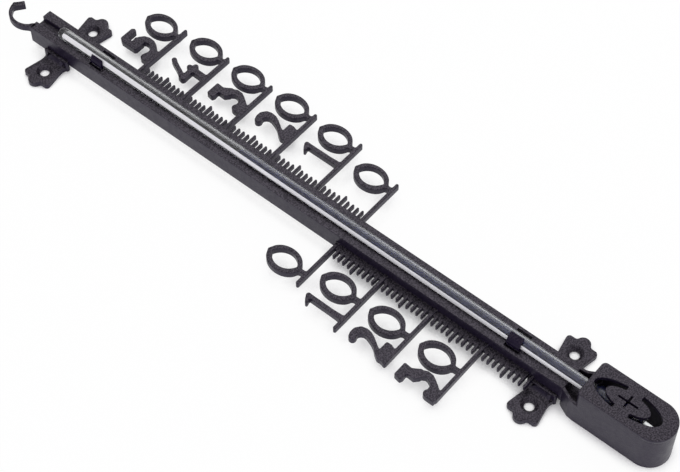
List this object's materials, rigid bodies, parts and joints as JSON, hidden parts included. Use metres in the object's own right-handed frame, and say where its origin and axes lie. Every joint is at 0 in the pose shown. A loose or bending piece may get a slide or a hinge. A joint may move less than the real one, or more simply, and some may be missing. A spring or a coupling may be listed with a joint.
{
  "type": "outdoor thermometer",
  "caption": "Long open plastic window thermometer with a bare raised scale, a clipped glass stem, a vented bulb housing, screw lugs and a hanging hook.",
  "frame": {"origin": "middle of the four screw holes, on the wall plane at the frame's back", "axes": "+X to the reader's right, +Y along the thermometer towards the hanging hook, +Z out of the wall towards the reader"},
  "size_m": [0.0661, 0.2787, 0.0162],
  "materials": {
    "frame_plastic": "semi-gloss moulded",
    "clear_glass": "clear drawn",
    "blue_liquid": "dyed liquid"
  },
  "bodies": {
    "frame": {"channel_bar": "frame_plastic", "hanging_hook": "frame_plastic", "lug_upper_left": "frame_plastic", "lug_upper_right": "frame_plastic", "lug_lower_left": "frame_plastic", "lug_lower_right": "frame_plastic", "warm_tick_comb": "frame_plastic", "cold_tick_comb": "frame_plastic", "mark_warm_50": "frame_plastic", "mark_warm_40": "frame_plastic", "mark_warm_30": "frame_plastic", "mark_warm_20": "frame_plastic", "mark_warm_10": "frame_plastic", "mark_warm_0": "frame_plastic", "mark_cold_0": "frame_plastic", "mark_cold_10": "frame_plastic", "mark_cold_20": "frame_plastic", "mark_cold_30": "frame_plastic", "clip_upper": "frame_plastic", "clip_lower": "frame_plastic", "neck_shoulder": "frame_plastic", "bulb_housing": "frame_plastic", "vented_cover": "frame_plastic", "glass_stem": "clear_glass", "glass_bulb": "clear_glass", "bulb_liquid": "blue_liquid", "liquid_thread": "blue_liquid"},
    "tip": {"liquid_tip": "blue_liquid"}
  },
  "joints": [
    {"name": "reading", "type": "slide", "parent": "frame", "child": "tip", "axis": [0, 1, 0], "range_m": [-0.125, 0.053], "deforming": ["liquid_thread"]}
  ]
}
